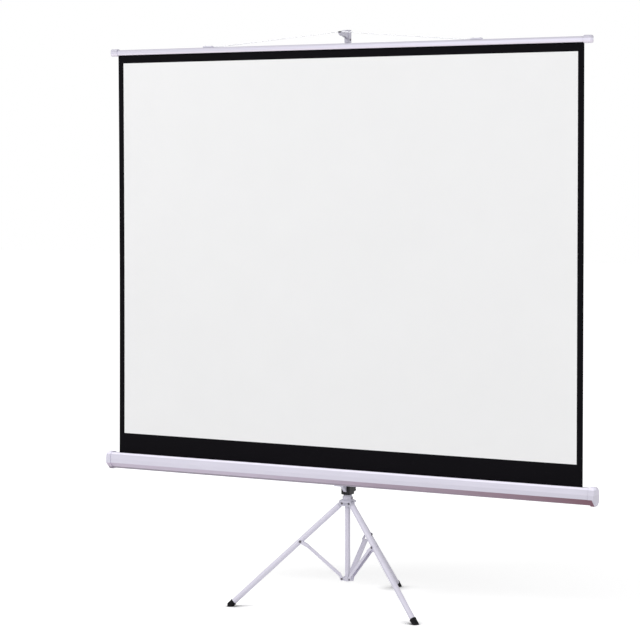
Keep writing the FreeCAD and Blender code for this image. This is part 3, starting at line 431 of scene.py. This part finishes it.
def bar_paint(name, colour, lower_highlight):
    """Satin paint with painted light and shade: paler towards the right-hand end, with painted shade on the
    upper rounding and a painted highlight along the lower edge.
    """
    paint = satin_paint(name, colour, BAR_STREAKS)
    z = paint.axis("Z")
    # Painted light: the bar grows paler towards its right-hand end
    rightward = paint.spread(paint.axis("X"), 0.0, 1.0, BAR_LOW.x / 2, BAR_HIGH.x / 2)
    tone = paint.mix(rightward, paint.tone(), shade(colour, 1.15))
    # Painted shade on the upper rounding
    upper = paint.above(z, BAR_HIGH.z - BAR_TOP_DEPTH, BAR_TOP_FADE)
    tone = paint.mix(upper, tone, shade(colour, 0.82))
    # Painted highlight along the lower edge
    lower = paint.below(z, BAR_LOW.z + BAR_EDGE_HEIGHT, BAR_EDGE_FADE)
    return paint.join(Base_Color=paint.mix(lower, tone, lower_highlight))


def moulded_plastic(name, colour, gloss, grain, wear):
    """Grained plastic that is rubbed along its edges."""
    plastic = Finish(name)
    cloud = plastic.noise(scale=24.0, detail=4.0)
    worn = plastic.edge_mask(radius=0.0010)
    tone = plastic.mix(cloud, shade(colour, 0.90), shade(colour, 1.04))
    tone = plastic.mix(plastic.times(worn, 0.5), tone, shade(colour, wear))
    rough = plastic.spread(plastic.noise(scale=120.0, detail=2.0), low=gloss - 0.10, high=gloss + 0.10)
    pores = plastic.noise(scale=grain, detail=2.0)
    normal = plastic.bump(pores, depth=0.00022, strength=0.7, normal=plastic.rounded_edges(0.0006))
    plastic.join(Base_Color=tone, Roughness=rough, Normal=normal)
    return plastic


def hook_plastic(name, colour, groove_shade):
    """The pale moulding, with painted shade on the slope of the groove that the wire slides over."""
    plastic = moulded_plastic(name, colour, **PALE_SURFACE)
    # Painted shade on the slope of the groove, near the tip and the top
    across = plastic.combine("LESS_THAN", plastic.combine("ABSOLUTE", plastic.axis("X")), GROOVE_SHADE_HALF)
    ahead = plastic.combine("LESS_THAN", plastic.axis("Y"), HOOK_LOW.y + GROOVE_SHADE_REACH)
    over = plastic.combine("GREATER_THAN", plastic.axis("Z"), HOOK_HIGH.z - GROOVE_SHADE_DEPTH)
    return plastic.join(Base_Color=plastic.mix(plastic.times(across, ahead, over), plastic.tone(), groove_shade))


def steel(name, colour, gloss, streaks):
    """Metal with fine drawing marks."""
    metal = Finish(name)
    drawn = metal.noise(scale=1.0, vector=metal.stretched(*streaks))
    tone = metal.mix(drawn, shade(colour, 0.80), shade(colour, 1.15))
    rough = metal.spread(drawn, low=gloss - 0.08, high=gloss + 0.10)
    normal = metal.bump(drawn, depth=0.00004, strength=0.4, normal=metal.rounded_edges(0.0004))
    return metal.join(Base_Color=tone, Metallic=1.0, Roughness=rough, Normal=normal)


def rubber(name, colour):
    """Dull rubber, dusty where it meets the floor."""
    soft = Finish(name)
    cloud = soft.noise(scale=60.0, detail=4.0)
    dust = soft.below(soft.axis("Z"), edge=0.0, fade=0.012, most=0.55)
    tone = soft.mix(cloud, shade(colour, 0.8), shade(colour, 1.5))
    tone = soft.mix(soft.times(dust, cloud), tone, shade(colour, 5.0))
    rough = soft.spread(cloud, low=0.62, high=0.82)
    pores = soft.noise(scale=1100.0, detail=2.0)
    normal = soft.bump(pores, depth=0.00015, strength=0.5, normal=soft.rounded_edges(0.0010))
    return soft.join(Base_Color=tone, Roughness=rough, Normal=normal, Specular_IOR_Level=0.12)


def cloth(name, colour, pitch, rough, depth, variation, shine, sheen):
    """Coated cloth whose threads just show."""
    woven = Finish(name)
    threads = woven.times(woven.bands("X", pitch), woven.bands("Z", pitch))
    cloud = woven.noise(scale=5.0, detail=5.0)
    tone = woven.mix(cloud, shade(colour, 1.0 - variation), shade(colour, 1.0 + variation / 2))
    tone = woven.mix(woven.times(threads, 0.4), tone, shade(colour, 1.0 - 2 * variation))
    gloss = woven.spread(cloud, low=rough - 0.05, high=rough + 0.05)
    normal = woven.bump(threads, depth, strength=0.6)
    return woven.join(Base_Color=tone, Roughness=gloss, Normal=normal, Specular_IOR_Level=shine,
                      Sheen_Weight=sheen, Sheen_Roughness=0.5)


def dress(names, material):
    """Gives solids their material."""
    for name in names:
        node = frame["nodes"][name]
        node.data.materials.clear()
        node.data.materials.append(material)


def alone(piece):
    """Selects one piece and nothing else."""
    bpy.ops.object.select_all(action="DESELECT")
    piece.select_set(True)
    bpy.context.view_layer.objects.active = piece


# Operators

class ROLLSCREEN_OT_tubes(bpy.types.Operator):
    """Paint the mast, the extension, the post, the legs and the braces"""
    bl_idname = "rollscreen.tubes"
    bl_label = "Tubes and braces"

    def execute(self, context):
        colour = context.scene.screen_finish.paint
        dress(TUBE_NODES, satin_paint("tube_paint", colour, TUBE_STREAKS).material)
        return {"FINISHED"}


class ROLLSCREEN_OT_case(bpy.types.Operator):
    """Paint the roller case with its end caps, and the top bar with its caps"""
    bl_idname = "rollscreen.case"
    bl_label = "Case and top bar"

    def execute(self, context):
        finish = context.scene.screen_finish
        dress(CASE_NODES, case_paint("case_paint", finish.paint, finish.chamfer_shade, finish.chamfer_end_shade))
        dress(BAR_NODES, bar_paint("bar_paint", finish.paint, finish.lower_highlight))
        return {"FINISHED"}


class ROLLSCREEN_OT_mouldings(bpy.types.Operator):
    """Finish the pale moulded hubs, cradle, collar, clips, knuckles and hook"""
    bl_idname = "rollscreen.mouldings"
    bl_label = "Pale mouldings"

    def execute(self, context):
        finish = context.scene.screen_finish
        dress(MOULDED_NODES, moulded_plastic("pale_moulding", finish.moulding, **PALE_SURFACE).material)
        # The hook's groove takes a painted shade in the dark colour of the knobs
        dress(["hook_head"], hook_plastic("hook_moulding", finish.moulding, finish.knob))
        return {"FINISHED"}


class ROLLSCREEN_OT_knobs(bpy.types.Operator):
    """Finish the dark knobs, bushes and plugs, and the carrier's sleeve"""
    bl_idname = "rollscreen.knobs"
    bl_label = "Dark mouldings"

    def execute(self, context):
        colour = context.scene.screen_finish.knob
        plastic = moulded_plastic("dark_moulding", colour, **DARK_SURFACE)
        dress(DARK_NODES, plastic.join(Specular_IOR_Level=DARK_SHINE))
        return {"FINISHED"}


class ROLLSCREEN_OT_metal(bpy.types.Operator):
    """Finish the pins, the plated steel, the bail wire and the roller tube"""
    bl_idname = "rollscreen.metal"
    bl_label = "Metal fittings"

    def execute(self, context):
        finish = context.scene.screen_finish
        dress(PIN_NODES, steel("pin_steel", finish.pin, gloss=0.38, streaks=PIN_STREAKS))
        dress(PLATE_NODES, steel("plated_steel", finish.plate, gloss=0.34, streaks=PLATE_STREAKS))
        dress(["bail_wire"], steel("wire_steel", finish.plate, gloss=0.26, streaks=WIRE_STREAKS))
        dress(["roller_tube"], steel("roller_steel", finish.plate, gloss=0.42, streaks=ROLLER_STREAKS))
        return {"FINISHED"}


class ROLLSCREEN_OT_feet(bpy.types.Operator):
    """Finish the rubber feet"""
    bl_idname = "rollscreen.feet"
    bl_label = "Rubber feet"

    def execute(self, context):
        dress(FOOT_NODES, rubber("foot_rubber", context.scene.screen_finish.rubber))
        return {"FINISHED"}


def strip(name, low, high, cuts):
    """A flat upright strip of the fabric's width, facing the room."""
    bpy.ops.object.select_all(action="DESELECT")
    bpy.ops.mesh.primitive_plane_add(size=1.0, location=(0.0, FABRIC_Y, (low + high) / 2),
                                     rotation=(math.pi / 2, 0.0, 0.0))
    piece = bpy.context.object
    piece.name = piece.data.name = name
    piece.scale = (FABRIC_WIDTH, high - low, 1.0)
    bpy.ops.object.transform_apply(location=True, rotation=True, scale=True)
    bpy.ops.object.mode_set(mode="EDIT")
    bpy.ops.mesh.select_all(action="SELECT")
    bpy.ops.mesh.subdivide(number_cuts=cuts)
    bpy.ops.object.mode_set(mode="OBJECT")
    return piece


def crease(piece, place, normal):
    """An edge right across the piece, where the print changes."""
    alone(piece)
    bpy.ops.object.mode_set(mode="EDIT")
    bpy.ops.mesh.select_all(action="SELECT")
    bpy.ops.mesh.bisect(plane_co=place, plane_no=normal)
    bpy.ops.object.mode_set(mode="OBJECT")


def edge_at(piece, height):
    """Selects the edges at one height, in edit mode."""
    bpy.ops.object.mode_set(mode="EDIT")
    bpy.ops.mesh.select_mode(type="EDGE")
    bpy.ops.mesh.select_all(action="DESELECT")
    bpy.ops.object.mode_set(mode="OBJECT")
    points = piece.data.vertices
    for edge in piece.data.edges:
        edge.select = all(abs(points[i].co.z - height) < EDGE_TOLERANCE for i in edge.vertices)
    bpy.ops.object.mode_set(mode="EDIT")


def drape(piece, fabric):
    """Draws the free edges in and back a little, and ripples the sheet, most at mid height."""
    half = FABRIC_WIDTH / 2
    for point in piece.data.vertices:
        across = point.co.x / half
        up = min(1.0, max(0.0, (point.co.z - SLOT_Z) / (BAR_Z - SLOT_Z)))
        loose = math.sin(math.pi * up)
        narrow = math.sin(NARROW_WAVE * across + NARROW_PHASE + NARROW_LEAN * up)
        wave = math.sin(WIDE_WAVE * across + WIDE_PHASE) + NARROW_SHARE * narrow
        point.co.x -= fabric.waist * across ** WAIST_POWER * loose
        point.co.y += loose * (fabric.edge_curl * across ** CURL_POWER + fabric.ripple * wave)


def thicken(piece, thickness):
    """Gives a sheet its thickness, half to each side."""
    alone(piece)
    wall = piece.modifiers.new("cloth", "SOLIDIFY")
    wall.thickness = thickness
    wall.offset = 0.0
    bpy.ops.object.modifier_apply(modifier=wall.name)
    bpy.ops.object.shade_smooth_by_angle(angle=SMOOTH_ANGLE)


def print_fabric(piece, fabric, materials):
    """White picture, black border and black back."""
    for material in materials:
        piece.data.materials.append(material)
    side = FABRIC_WIDTH / 2 - fabric.side_border
    for face in piece.data.polygons:
        place = face.center
        inside = abs(place.x) < side and SLOT_Z + fabric.bottom_border < place.z < BAR_Z - fabric.top_border
        if face.normal.y > -0.5:
            face.material_index = BACK_SLOT
        else:
            face.material_index = PICTURE_SLOT if inside else BORDER_SLOT


def hang(piece, body):
    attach(piece, body)
    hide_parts("screen_fabric")


class ROLLSCREEN_OT_fabric(bpy.types.Operator):
    """Model the fabric from the roller to the hem, in the lengths that the joints gather"""
    bl_idname = "rollscreen.fabric"
    bl_label = "Fabric"

    def execute(self, context):
        fabric = context.scene.screen_fabric
        picture = cloth("fabric_picture", fabric.picture_colour, fabric.weave, rough=0.88, depth=0.00012,
                        variation=0.025, shine=0.25, sheen=0.05)
        border = cloth("fabric_border", fabric.border_colour, fabric.weave, rough=0.85, depth=0.00012,
                       variation=0.25, shine=0.06, sheen=0.0)
        back = cloth("fabric_back", fabric.back_colour, fabric.weave, **BACK_SURFACE)
        materials = [picture, border, back]
        travel = {joint["name"]: joint["range_m"] for joint in frame["joints"] if joint["type"] == "slide"}
        lower_end = SLOT_Z + travel["case_height"][1] + LOWER_SPARE
        middle_end = lower_end - travel["mast_extension"][0] + MIDDLE_SPARE
        upper_end = BAR_Z - fabric.top_border
        runs = [("fabric_lower", SLOT_Z, lower_end, "mast", "case_height", lower_end),
                ("fabric_middle", lower_end, middle_end, "mast", "mast_extension", lower_end),
                ("fabric_upper", middle_end, upper_end, "extension", "screen_retract", middle_end)]
        side = FABRIC_WIDTH / 2 - fabric.side_border
        for name, low, high, body, joint, fixed in runs:
            piece = strip(name, low, high, RUN_CUTS)
            for sign in (-1, 1):
                crease(piece, (sign * side, 0.0, 0.0), (1.0, 0.0, 0.0))
            if low < SLOT_Z + fabric.bottom_border < high:
                crease(piece, (0.0, 0.0, SLOT_Z + fabric.bottom_border), (0.0, 0.0, 1.0))
            drape(piece, fabric)
            thicken(piece, fabric.thickness)
            print_fabric(piece, fabric, materials)
            hang(piece, body)
            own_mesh(piece)
        self.head(fabric, materials, upper_end)
        self.leader(fabric, materials)
        return {"FINISHED"}

    def head(self, fabric, materials, low):
        """The top strip, with its hem turned round the rod in the bar."""
        loop = (ROD_HIGH.z - ROD_LOW.z) / 2 + fabric.thickness / 2 + FABRIC_GAP
        piece = strip("fabric_head", low, HEM_Z - loop, HEAD_CUTS)
        drape(piece, fabric)
        edge_at(piece, HEM_Z - loop)
        bpy.ops.mesh.spin(steps=HEM_STEPS, angle=HEM_TURN, center=(0.0, FABRIC_Y, HEM_Z),
                          axis=(1.0, 0.0, 0.0))
        bpy.ops.mesh.select_all(action="SELECT")
        bpy.ops.mesh.remove_doubles(threshold=MERGE_DISTANCE)
        bpy.ops.object.mode_set(mode="OBJECT")
        thicken(piece, fabric.thickness)
        print_fabric(piece, fabric, materials)
        hang(piece, "bar")

    def leader(self, fabric, materials):
        """The end in the case, from its slot to the roller."""
        bend = SLOT_Z - LEADER_DROP
        end = Vector((0.0, FABRIC_LOW.y + fabric.thickness / 2, FABRIC_LOW.z))
        piece = strip("fabric_leader", bend, SLOT_Z, LEADER_CUTS)
        edge_at(piece, bend)
        step = end - Vector((0.0, FABRIC_Y, bend))
        bpy.ops.mesh.extrude_edges_move(TRANSFORM_OT_translate={"value": step})
        bpy.ops.object.mode_set(mode="OBJECT")
        thicken(piece, fabric.thickness)
        print_fabric(piece, fabric, materials)
        hang(piece, "case")


class ROLLSCREEN_OT_roll(bpy.types.Operator):
    """Model the turns of fabric that stay on the roller"""
    bl_idname = "rollscreen.roll"
    bl_label = "Fabric on the roller"

    def execute(self, context):
        fabric = context.scene.screen_fabric
        centre_y = (ROLL_LOW.y + ROLL_HIGH.y) / 2
        centre_z = (ROLL_LOW.z + ROLL_HIGH.z) / 2
        inner = (TUBE_HIGH.z - TUBE_LOW.z) / 2 + fabric.thickness / 2 + FABRIC_GAP
        outer = (ROLL_HIGH.z - ROLL_LOW.z) / 2 - fabric.thickness / 2
        turns = (outer - inner) / (fabric.thickness * TURN_PITCH_SHARE)
        steps = int(turns * TURN_STEPS)
        points = []
        faces = []
        for step in range(steps + 1):
            share = step / steps
            angle = 2 * math.pi * turns * share
            radius = inner + (outer - inner) * share
            place = (centre_y - radius * math.cos(angle), centre_z - radius * math.sin(angle))
            points += [(FABRIC_LOW.x, *place), (FABRIC_HIGH.x, *place)]
            if step:
                faces.append((2 * step - 2, 2 * step - 1, 2 * step + 1, 2 * step))
        mesh = bpy.data.meshes.new("fabric_roll")
        mesh.from_pydata(points, [], faces)
        piece = bpy.data.objects.new("fabric_roll", mesh)
        context.scene.collection.objects.link(piece)
        thicken(piece, fabric.thickness * ROLLED_SHARE)
        back = cloth("fabric_rolled", fabric.back_colour, fabric.weave, **BACK_SURFACE)
        piece.data.materials.append(back)
        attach(piece, "roller")
        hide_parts("wound_fabric")
        return {"FINISHED"}


class ROLLSCREEN_OT_stage(bpy.types.Operator):
    """Set the floor, the light and the camera"""
    bl_idname = "rollscreen.stage"
    bl_label = "Stage"

    def execute(self, context):
        stage = context.scene.screen_stage
        self.floor(stage)
        self.sky(context.scene, stage)
        self.lamp("key_lamp", KEY_PLACE, stage.key)
        self.lamp("fill_lamp", FILL_PLACE, stage.fill)
        self.camera(context.scene, stage)
        context.scene.view_settings.view_transform = "Standard"
        return {"FINISHED"}

    def floor(self, stage):
        """A pale floor that looks white, with shade where the feet touch it."""
        bpy.ops.object.select_all(action="DESELECT")
        bpy.ops.mesh.primitive_plane_add(size=FLOOR_SIZE, location=(0.0, 0.0, FLOOR_Z))
        floor = bpy.context.object
        floor.name = "floor"
        paint = Finish("floor_paint")
        grain = paint.noise(scale=3.0, detail=4.0)
        tone = paint.mix(grain, shade(stage.floor, 0.99), shade(stage.floor, 1.01))
        away = paint.node("ShaderNodeVectorMath", [(0, paint.coords)], operation="LENGTH").outputs["Value"]
        near = paint.node("ShaderNodeAmbientOcclusion", [("Distance", CONTACT_REACH)], samples=8)
        lift = paint.spread(away, low=0.49, high=0.64, start=0.8, end=4.5)
        # Painted contact shadow: where ambient occlusion finds the feet close by, the floor's colour darkens
        # and its glow fades
        open_floor = paint.spread(near.outputs["AO"], 0.0, 1.0, start=0.55, end=0.98)
        tone = paint.mix(open_floor, shade(stage.floor, 0.30), tone)
        glow = paint.times(seen_rays(paint.tree), paint.times(lift, open_floor))
        floor.data.materials.append(paint.join(Base_Color=tone, Roughness=0.9, Specular_IOR_Level=0.1,
                                               Emission_Color=(1.0, 1.0, 1.0, 1.0), Emission_Strength=glow))

    def sky(self, scene, stage):
        """White where it is seen, and a plain soft light all round."""
        world = bpy.data.worlds.new("studio")
        world.use_nodes = True
        scene.world = world
        tree = world.node_tree
        back = tree.nodes["Background"]
        back.inputs["Color"].default_value = (1.0, 1.0, 1.0, 1.0)
        lift = tree.nodes.new("ShaderNodeMapRange")
        lift.inputs["To Min"].default_value = stage.sky
        lift.inputs["To Max"].default_value = 1.0
        tree.links.new(seen_rays(tree), lift.inputs["Value"])
        tree.links.new(lift.outputs["Result"], back.inputs["Strength"])

    def lamp(self, name, place, power):
        """A large round lamp that points at the screen."""
        data = bpy.data.lights.new(name, "AREA")
        data.shape = "DISK"
        data.size = LAMP_SIZE
        data.energy = power
        lamp = bpy.data.objects.new(name, data)
        bpy.context.scene.collection.objects.link(lamp)
        lamp.location = place
        aim = LAMP_AIM - lamp.location
        lamp.rotation_euler = aim.to_track_quat("-Z", "Y").to_euler()

    def camera(self, scene, stage):
        data = bpy.data.cameras.new("camera")
        data.lens = stage.lens
        data.sensor_width = SENSOR_WIDTH
        data.shift_y = stage.shift
        data.clip_end = VIEW_REACH
        camera = bpy.data.objects.new("camera", data)
        scene.collection.objects.link(camera)
        camera.location = stage.camera_place
        level = Vector((-math.sin(stage.heading), math.cos(stage.heading), 0.0)) * math.cos(stage.pitch)
        aim = level - Vector((0.0, 0.0, math.sin(stage.pitch)))
        camera.rotation_euler = aim.to_track_quat("-Z", "Y").to_euler()
        scene.camera = camera


class ROLLSCREEN_PT_sidebar(bpy.types.Panel):
    """Steps and settings of the screen"""
    bl_idname = "ROLLSCREEN_PT_sidebar"
    bl_label = "Tripod projection screen"
    bl_space_type = "VIEW_3D"
    bl_region_type = "UI"
    bl_category = "Screen"

    def draw(self, context):
        for step in STEPS:
            self.layout.operator(step.bl_idname)
        scene = context.scene
        for settings in (scene.screen_fabric, scene.screen_finish, scene.screen_stage):
            box = self.layout.box()
            for key in settings.bl_rna.properties.keys():
                if key not in ("rna_type", "name"):
                    box.prop(settings, key)


SETTINGS = (FabricSettings, FinishSettings, StageSettings)
STEPS = (ROLLSCREEN_OT_tubes, ROLLSCREEN_OT_case, ROLLSCREEN_OT_mouldings, ROLLSCREEN_OT_knobs,
         ROLLSCREEN_OT_metal, ROLLSCREEN_OT_feet, ROLLSCREEN_OT_fabric, ROLLSCREEN_OT_roll,
         ROLLSCREEN_OT_stage)


def register():
    for item in (*SETTINGS, *STEPS, ROLLSCREEN_PT_sidebar):
        bpy.utils.register_class(item)
    bpy.types.Scene.screen_fabric = PointerProperty(type=FabricSettings)
    bpy.types.Scene.screen_finish = PointerProperty(type=FinishSettings)
    bpy.types.Scene.screen_stage = PointerProperty(type=StageSettings)


def unregister():
    del bpy.types.Scene.screen_stage
    del bpy.types.Scene.screen_finish
    del bpy.types.Scene.screen_fabric
    for item in reversed((*SETTINGS, *STEPS, ROLLSCREEN_PT_sidebar)):
        bpy.utils.unregister_class(item)


def main():
    register()
    for step in STEPS:
        getattr(bpy.ops.rollscreen, step.bl_idname.split(".")[1])()


if __name__ == "__main__":
    main()
